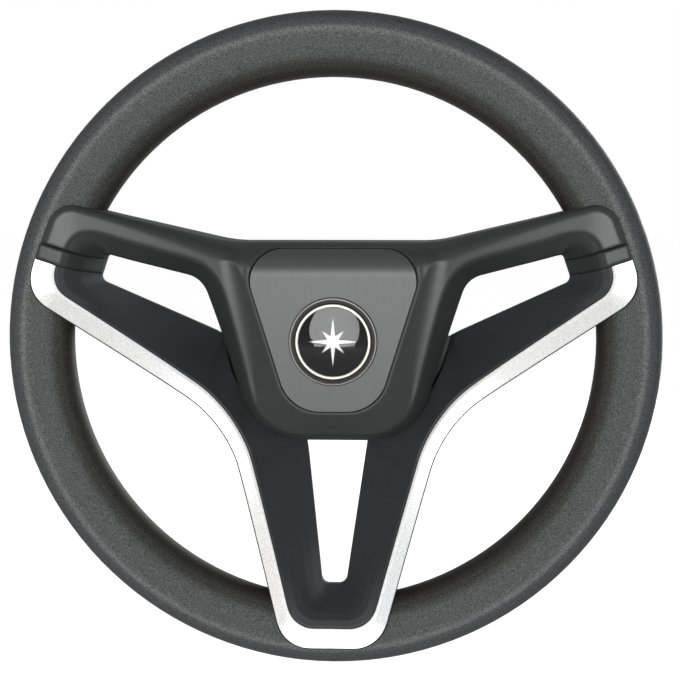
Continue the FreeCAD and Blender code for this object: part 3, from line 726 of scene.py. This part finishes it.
@dataclass(frozen=True)
class Lamp:
    """A round soft lamp, with its power in watts and its colour as an sRGB code."""

    name: str
    place: tuple[float, float, float]
    size: float
    power: float
    colour: str = WHITE

    def hang(self, aim: Vector) -> None:
        """Hang the lamp in its place.

        Args:
            aim: the point that it shines at.
        """
        data = bpy.data.lights.new(self.name, "AREA")
        data.shape = "DISK"
        data.size = self.size
        data.energy = self.power
        data.color = linear(self.colour)[:3]
        lamp = bpy.data.objects.new(self.name, data)
        bpy.context.scene.collection.objects.link(lamp)
        lamp.location = self.place
        lamp.rotation_mode = "QUATERNION"
        lamp.rotation_quaternion = (aim - Vector(self.place)).to_track_quat("-Z", "Y")


@dataclass
class Studio:
    """Floor, soft lamps, pale surroundings and the camera.

    A broad lamp hangs in front, a weaker one behind and a faint one at each side. The camera's
    angles are in degrees, and its lens and sensor in millimetres.
    """

    aim: tuple[float, float, float] = (0.0, -62.0 * MM, 0.0)
    azimuth: float = 2.67
    elevation: float = 5.10
    distance: float = 0.897
    lens: float = 88.55
    sensor: float = 36.0
    shift_x: float = 0.00957
    shift_y: float = 0.00113
    lamps: tuple[Lamp, ...] = (Lamp("front", (-0.07, -2.5, 0.1), 1.4, 60.0),
                               Lamp("behind", (1.1, 2.2, 0.4), 1.5, 36.0),
                               Lamp("left", (-1.9, -0.9, 0.4), 0.9, 3.0, "#fff0dc"),
                               Lamp("right", (1.9, -1.0, 0.3), 0.9, 3.0, "#dcebff"))
    floor_level: float = -0.34
    floor_size: float = 30.0
    floor_paint: str = "#c0c0c0"
    floor_glow: float = 0.94
    light_level: float = 0.1

    def build(self) -> None:
        """Set up everything round the wheel."""
        self.place_camera()
        self.lay_floor()
        for lamp in self.lamps:
            lamp.hang(Vector(self.aim))
        self.surround()
        LOG.info("set up the camera, the floor and %d lamps", len(self.lamps))

    def place_camera(self) -> None:
        """Put the camera where the photograph was taken from."""
        azimuth, elevation = math.radians(self.azimuth), math.radians(self.elevation)
        back = Vector((math.sin(azimuth) * math.cos(elevation),
                       -math.cos(azimuth) * math.cos(elevation), math.sin(elevation)))
        data = bpy.data.cameras.new("camera")
        data.lens = self.lens
        data.sensor_width = self.sensor
        data.shift_x, data.shift_y = self.shift_x, self.shift_y
        camera = bpy.data.objects.new("camera", data)
        bpy.context.scene.collection.objects.link(camera)
        camera.location = Vector(self.aim) + back * self.distance
        camera.rotation_mode = "QUATERNION"
        camera.rotation_quaternion = (-back).to_track_quat("-Z", "Y")
        bpy.context.scene.camera = camera

    def lay_floor(self) -> None:
        """Lay a pale floor that shows white and keeps the wheel's shadow."""
        deselect()
        bpy.ops.mesh.primitive_plane_add(size=self.floor_size, location=(0, 0, self.floor_level))
        floor = bpy.context.object
        floor.name = "floor"
        material, tree, shader = new_material("pale_floor")
        tree.nodes.remove(shader)
        paint = add_node(tree, "ShaderNodeBsdfDiffuse", Color=linear(self.floor_paint))
        glow = add_node(tree, "ShaderNodeEmission", {"Strength": seen_ray(tree, self.floor_glow)})
        both = add_node(tree, "ShaderNodeAddShader", {0: paint.outputs[0], 1: glow.outputs[0]})
        tree.links.new(both.outputs[0], tree.nodes["Material Output"].inputs["Surface"])
        floor.data.materials.append(material)

    def surround(self) -> None:
        """Show white all round, and light the wheel with a weaker grey."""
        world = bpy.data.worlds.new("surroundings")
        bpy.context.scene.world = world
        world.use_nodes = True
        tree = world.node_tree
        background = tree.nodes["Background"]
        background.inputs["Color"].default_value = linear(WHITE)
        level = add_node(tree, "ShaderNodeMapRange", {"Value": seen_ray(tree, 1.0)},
                         To_Min=self.light_level, To_Max=1.0)
        tree.links.new(level.outputs["Result"], background.inputs["Strength"])


def main() -> None:
    """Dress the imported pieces, add the scene's own pieces and set up the studio."""
    logging.basicConfig(level=logging.INFO, format="%(name)s: %(message)s")
    construction = Construction()
    construction.dress()
    frame_coat = construction.coat(MATT_FRAME)
    # A frame lip at the trim's outer edge that also carries painted shade.
    TrimLipAndShade().build(frame_coat)
    WindowFoot().build(frame_coat)
    EmblemMark().build(construction.coat(INK_WHITE))
    Studio().build()
    bpy.context.scene.view_settings.view_transform = "Standard"


if __name__ == "__main__":
    main()
